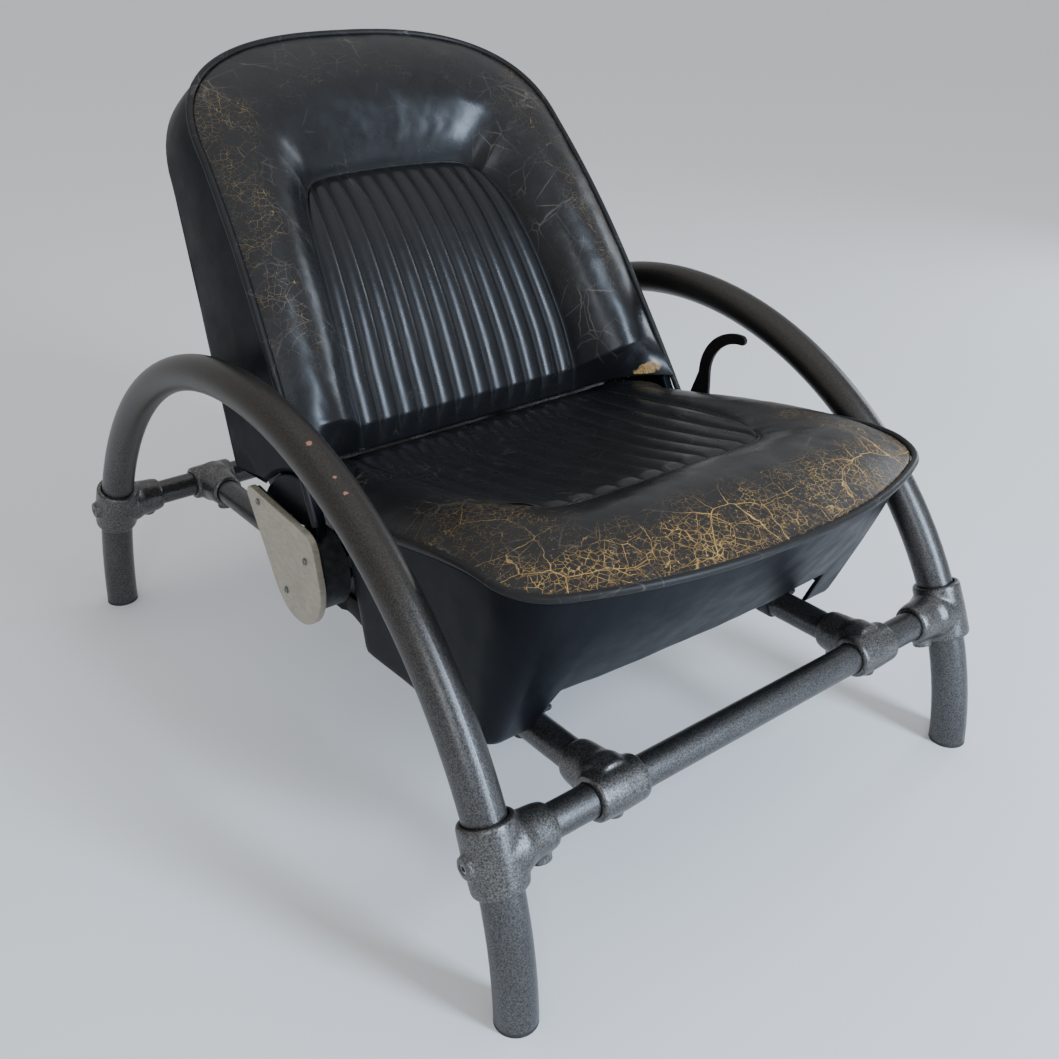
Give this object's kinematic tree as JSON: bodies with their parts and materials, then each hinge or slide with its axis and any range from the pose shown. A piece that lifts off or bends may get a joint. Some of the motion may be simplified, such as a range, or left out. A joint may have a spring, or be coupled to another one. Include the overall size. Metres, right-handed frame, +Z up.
{
  "type": "reclining car seat lounge chair",
  "caption": "Reclining lounge chair: a fluted black leather car seat on a tubular steel frame, with a half-round arch on each side and a recline lever.",
  "frame": {"origin": "middle of the chair on the floor, halfway between its front and rear feet", "axes": "+X to the sitter's left, -Y to the front, +Z up"},
  "size_m": [0.734, 0.9962, 0.801],
  "materials": {
    "hammered_tube": "dark hammered grey, worn, satin",
    "cast_fitting": "dark hammered grey over cast metal, satin",
    "plug": "matt black",
    "steel_fastener": "dull zinc-plated",
    "spring_steel": "dark oiled steel",
    "webbing": "matt black",
    "silver_cover": "silver, satin, lightly worn",
    "leather": "black, worn and creased, semi-gloss",
    "piping": "black, worn to brown along the edge",
    "lever": "satin black, worn at the edge",
    "black_steel": "satin black"
  },
  "bodies": {
    "base": {"left_arch_tube": "hammered_tube", "right_arch_tube": "hammered_tube", "foot_plugs": "plug", "front_cross_tube": "hammered_tube", "rear_cross_tube": "hammered_tube", "left_rail_tube": "hammered_tube", "right_rail_tube": "hammered_tube", "front_left_tee": "cast_fitting", "front_right_tee": "cast_fitting", "rear_left_tee": "cast_fitting", "rear_right_tee": "cast_fitting", "front_left_rail_tee": "cast_fitting", "front_right_rail_tee": "cast_fitting", "rear_left_rail_tee": "cast_fitting", "rear_right_rail_tee": "cast_fitting", "set_screws": "steel_fastener", "seat_frame": "black_steel", "seat_webbing": "webbing", "front_pedestals": "black_steel", "rear_pedestals": "black_steel", "pipe_straps": "black_steel", "strap_bolts": "steel_fastener", "seat_base_shell": "leather", "seat_cushion": "leather", "seat_piping": "piping", "left_hinge_bracket": "black_steel", "right_hinge_bracket": "black_steel", "bracket_bolts": "steel_fastener", "left_recliner_housing": "black_steel", "right_recliner_housing": "black_steel", "left_pivot_bolt": "steel_fastener", "right_pivot_bolt": "steel_fastener", "pivot_nuts": "steel_fastener", "left_clock_spring": "spring_steel", "right_clock_spring": "spring_steel", "lever_spring": "spring_steel"},
    "backrest": {"left_recliner_arm": "black_steel", "right_recliner_arm": "black_steel", "left_friction_disc": "steel_fastener", "right_friction_disc": "steel_fastener", "left_recliner_cover": "silver_cover", "right_recliner_cover": "silver_cover", "cover_screws": "steel_fastener", "left_side_plate": "black_steel", "right_side_plate": "black_steel", "hinge_bolts": "steel_fastener", "left_hinge_cover": "leather", "right_hinge_cover": "leather", "backrest_frame": "black_steel", "backrest_webbing": "webbing", "backrest_cushion": "leather", "backrest_side_panel": "leather", "back_panel": "leather", "backrest_piping": "piping"},
    "release_lever": {"release_shaft": "steel_fastener", "recline_lever": "lever", "lever_nut": "steel_fastener"}
  },
  "joints": [
    {"name": "backrest_recline", "type": "hinge", "parent": "base", "child": "backrest", "pos_m": [0, -0.022, 0.247], "axis": [-1, 0, 0], "range_deg": [-8, 34]},
    {"name": "lever_lift", "type": "hinge", "parent": "base", "child": "release_lever", "pos_m": [0, -0.022, 0.247], "axis": [-1, 0, 0], "range_deg": [0, 20], "stiffness_Nm_per_rad": 6, "springref_deg": -6.88}
  ]
}
